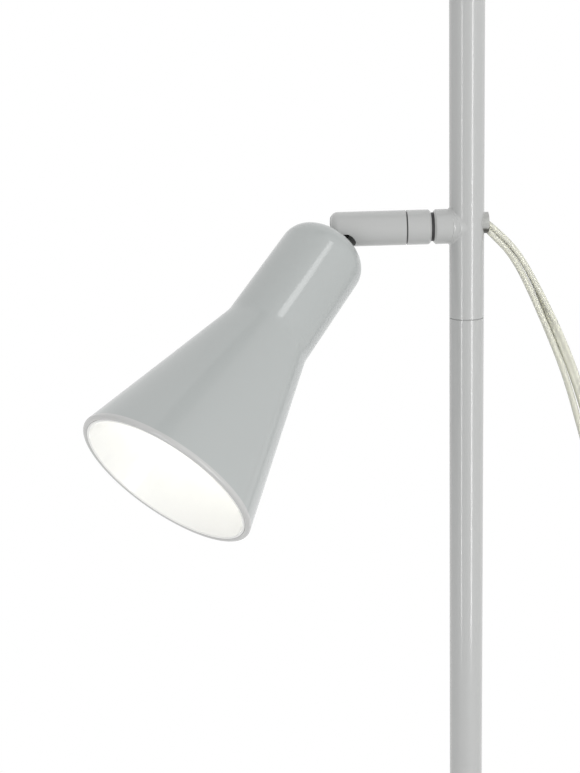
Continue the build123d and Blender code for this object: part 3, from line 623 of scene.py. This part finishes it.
uplight_points = from_arm([
    (9.6, 0.1, 2.0), (13.6, 0.2, -1.2), (24.0, 0.4, -11.2), (32.6, 0.4, -24.2),
    (45.2, 0.5, -51.0), (57.4, 0.6, -80.0), (67.0, 0.7, -111.5), (81.6, 0.6, -160.0),
    (96.8, 0.2, -217.0), (110.4, -0.6, -275.0), (121.8, -1.6, -333.0), (131.2, -2.8, -391.5),
    (138.6, -4.0, -450.0), (144.4, -5.2, -509.0), (149.0, -6.4, -568.0), (152.6, -7.4, -627.0),
    (155.6, -8.2, -686.0), (158.3, -8.8, -745.0), (161.3, -9.5, -804.0), (164.7, -10.1, -863.0),
    (168.7, -10.9, -921.0), (172.8, -11.6, -979.0), (177.6, -12.0, -1034.0),
    (181.4, -11.2, -1078.0),
])


def landing(inlet_x, side):
    """Last points of a clear cord, along the floor into the switch."""
    return [(inlet_x + side * 1.2, INLET_Y - 59.0, 47.0),
            (inlet_x + side * 1.6, INLET_Y - 51.0, 22.0),
            (inlet_x + side * 1.2, INLET_Y - 36.0, 6.0),
            (inlet_x + side * 0.4, INLET_Y - 18.0, 2.2),
            (inlet_x, INLET_Y, INLET_HEIGHT)]


reading_points += landing(SWITCH_X - INLET_SIDE, -1)
uplight_points += landing(SWITCH_X + INLET_SIDE, 1)

reading_jacket, reading_wires, reading_line = flat_cord(
    "reading_cord", reading_points,
    [(0.0, (0, 1, 0)), (0.25, (0, 1, 0)), (0.6, (1, 1, 0)), (1.1, (1, 0, 0)), (1.22, (1, 0, 0))])
uplight_jacket, uplight_wires, uplight_line = flat_cord(
    "uplight_cord", uplight_points,
    [(0.0, (0, 1, 0)), (0.03, (0, 1, 0)), (0.09, (1, 0, 0)), (0.3, (1, 0, 0)),
     (0.7, (1, -1, 0)), (1.1, (1, 0, 0)), (1.22, (1, 0, 0))])
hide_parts("reading_cord")
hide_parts("uplight_cord")

COIL_X, COIL_Y = 85.0, 186.0
COIL_RADII = (38.8, 33.2, 27.6, 22.0)
COIL_HEIGHTS = (1.7, 5.1)
POINTS_PER_TURN = 16
STEP_OVER_FROM = 0.7        # share of a turn after which it steps over to the next
LYING_HEIGHT = COIL_HEIGHTS[0]     # of a cord's middle, where the cord lies on the floor


def coil_points():
    """Eight turns: inwards on the floor, then outwards on top of them."""
    radii = COIL_RADII + COIL_RADII[::-1]
    heights = (COIL_HEIGHTS[0],) * len(COIL_RADII) + (COIL_HEIGHTS[1],) * len(COIL_RADII)
    points = []
    for turn in range(len(radii)):
        after = min(turn + 1, len(radii) - 1)
        for step in range(POINTS_PER_TURN):
            share = max(0.0, step / POINTS_PER_TURN - STEP_OVER_FROM) / (1 - STEP_OVER_FROM)
            share = share * share * (3 - 2 * share)
            radius = radii[turn] + (radii[after] - radii[turn]) * share
            height = heights[turn] + (heights[after] - heights[turn]) * share
            angle = math.pi / 2 + 2 * math.pi * (step + 0.5) / POINTS_PER_TURN
            points.append((COIL_X + radius * math.cos(angle), COIL_Y + radius * math.sin(angle),
                           height))
    return points


side_y = COIL_Y + COIL_RADII[0] + CORD_WIDTH / 2 + CORD_THICKNESS / 2 + 0.3
mains_points = [
    (SWITCH_X, OUTLET_Y, INLET_HEIGHT), (SWITCH_X - 0.6, OUTLET_Y + 9.0, 3.2),
    (SWITCH_X - 4.6, OUTLET_Y + 21.0, 1.8), (SWITCH_X - 14.0, OUTLET_Y + 32.0, LYING_HEIGHT),
    (SWITCH_X - 29.0, OUTLET_Y + 39.4, LYING_HEIGHT),
    (SWITCH_X - 46.0, OUTLET_Y + 42.6, LYING_HEIGHT),
    (COIL_X + 28.0, side_y - 1.2, LYING_HEIGHT), (COIL_X + 8.0, side_y - 4.4, LYING_HEIGHT),
] + coil_points() + [
    (COIL_X - 8.0, side_y - 4.4, COIL_HEIGHTS[1]), (COIL_X - 20.0, side_y - 2.6, 4.4),
    (COIL_X - 34.0, side_y - 3.2, 2.2), (COIL_X - 51.0, side_y - 9.6, 1.9),
    (12.3, 207.0, 6.8),
]
mains_jacket, mains_wires, mains_line = flat_cord(
    "mains_cord", mains_points, [(0.0, (1, 0, 0)), (0.05, (1, 0, 0)), (1.72, (0, 1, 0))])
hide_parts("mains_cord", "mains_cord_coil", "mains_cord_tail")

for jacket, line, start, far_end, lay, carried in (
        (reading_jacket, reading_line, reading_points[0], "fitting", "hanging",
         [reading_wires, nodes["switch_base"], nodes["switch_cover"],
          nodes["switch_rocker_reading"], nodes["switch_contacts"]]),
        (uplight_jacket, uplight_line, uplight_points[0], "fitting", "hanging",
         [uplight_wires, nodes["switch_reliefs"], nodes["switch_screws"],
          nodes["switch_rocker_uplight"]]),
        (mains_jacket, mains_line, mains_points[0], "plug", "coiled",
         [mains_wires, nodes["mains_plug"], nodes["mains_plug_pins"],
          nodes["mains_plug_relief"]])):
    print(jacket.name, "length", round(length_of(line), 3))
    round(length_of(line), 2)


# ---------------------------------------------------------------- floor, light and camera
FLOOR_RADIUS = 9.0          # metres, as the places and sizes of the lights and camera
SHADOW_SHARE, SHADOW_REACH = 0.5, 0.5   # how much of the floor's own shade shows, and to where


def floor():
    """Pale floor that keeps the lamp's shadow, and turns white further out."""
    bpy.ops.mesh.primitive_circle_add(vertices=64, radius=FLOOR_RADIUS, fill_type="NGON")
    ground = settle(bpy.context.object, "studio_floor")
    made = Finish("studio_floor", {"Roughness": 0.8, "Base Color": (0.82, 0.82, 0.82, 1)})
    away = made.vector_math("LENGTH", "Value", made.place())
    whiter = (away - SHADOW_REACH).clamp() * SHADOW_SHARE + (1 - SHADOW_SHARE)
    made.surface(made.node("ShaderNodeMixShader", {}, {
        0: made.seen_straight() * whiter,
        1: Wire(made, made.shader.outputs[0]),
        2: made.node("ShaderNodeEmission", {}, {})}))
    ground.data.materials.append(made.material)


floor()


def surround():
    """Even studio light, and a white background."""
    world = bpy.data.worlds.new("studio")
    bpy.context.scene.world = world
    world.use_nodes = True
    made = NodeTree(world.node_tree)
    white = (1, 1, 1, 1)
    made.surface(made.node("ShaderNodeMixShader", {}, {
        0: made.seen_straight(),
        1: made.node("ShaderNodeBackground", {}, {"Color": white, "Strength": 0.76}),
        2: made.node("ShaderNodeBackground", {}, {"Color": white, "Strength": 1.0})}))


surround()

LAMP_MIDDLE = Vector((0.0, 0.0, 1.15))
MIRRORED, LIGHTS_UP = "mirrored", "lights_up"   # a light is seen in gloss, or lights matt faces
LIGHTS = (
    # name, azimuth (0 in front, 90 on the right), elevation, distance, width, height, watts, use
    ("left_strip", -39.6, -6, 1.9, 0.16, 1.6, 8, MIRRORED),
    ("right_strip", 29, -6, 1.9, 0.3, 1.6, 13.5, MIRRORED),
    ("neck_strip", 44, 51, 1.9, 0.32, 0.42, 2.0, MIRRORED),
    ("key", 42, 25, 2.6, 1.8, 1.8, 20, LIGHTS_UP),
    ("fill", 5, -38, 1.6, 1.6, 1.0, 3.5, LIGHTS_UP),
)
for name, azimuth, elevation, distance, width, height, watts, use in LIGHTS:
    light = bpy.data.lights.new(name, "AREA")
    light.shape = "RECTANGLE"
    light.size, light.size_y, light.energy = width, height, watts
    holder = linked(name, light)
    holder.visible_glossy = use == MIRRORED
    holder.visible_diffuse = use == LIGHTS_UP
    around, rise = math.radians(azimuth), math.radians(elevation)
    outwards = Vector((math.cos(rise) * math.sin(around), -math.cos(rise) * math.cos(around),
                       math.sin(rise)))
    facing = outwards.to_track_quat("Z", "Y").to_matrix().to_4x4()
    holder.matrix_world = Matrix.Translation(LAMP_MIDDLE + outwards * distance) @ facing

CAMERA_PLACE = Vector((-0.09939, -0.73978, 1.24713))
CAMERA_RIGHT = Vector((0.99958, -0.00734, -0.02790)).normalized()
CAMERA_AHEAD = Vector((0.0008, 0.97375, -0.22762))


def photo_camera():
    """Camera that sees the lamp as the photograph does."""
    camera = bpy.data.cameras.new("photo_camera")
    camera.lens = 66.64
    camera.shift_x = 0.0123
    holder = linked("photo_camera", camera)
    ahead = (CAMERA_AHEAD - CAMERA_RIGHT * CAMERA_AHEAD.dot(CAMERA_RIGHT)).normalized()
    turn = Matrix((CAMERA_RIGHT, CAMERA_RIGHT.cross(ahead), -ahead)).transposed().to_4x4()
    holder.matrix_world = Matrix.Translation(CAMERA_PLACE) @ turn
    bpy.context.scene.camera = holder


photo_camera()
bpy.context.scene.view_settings.view_transform = "Standard"
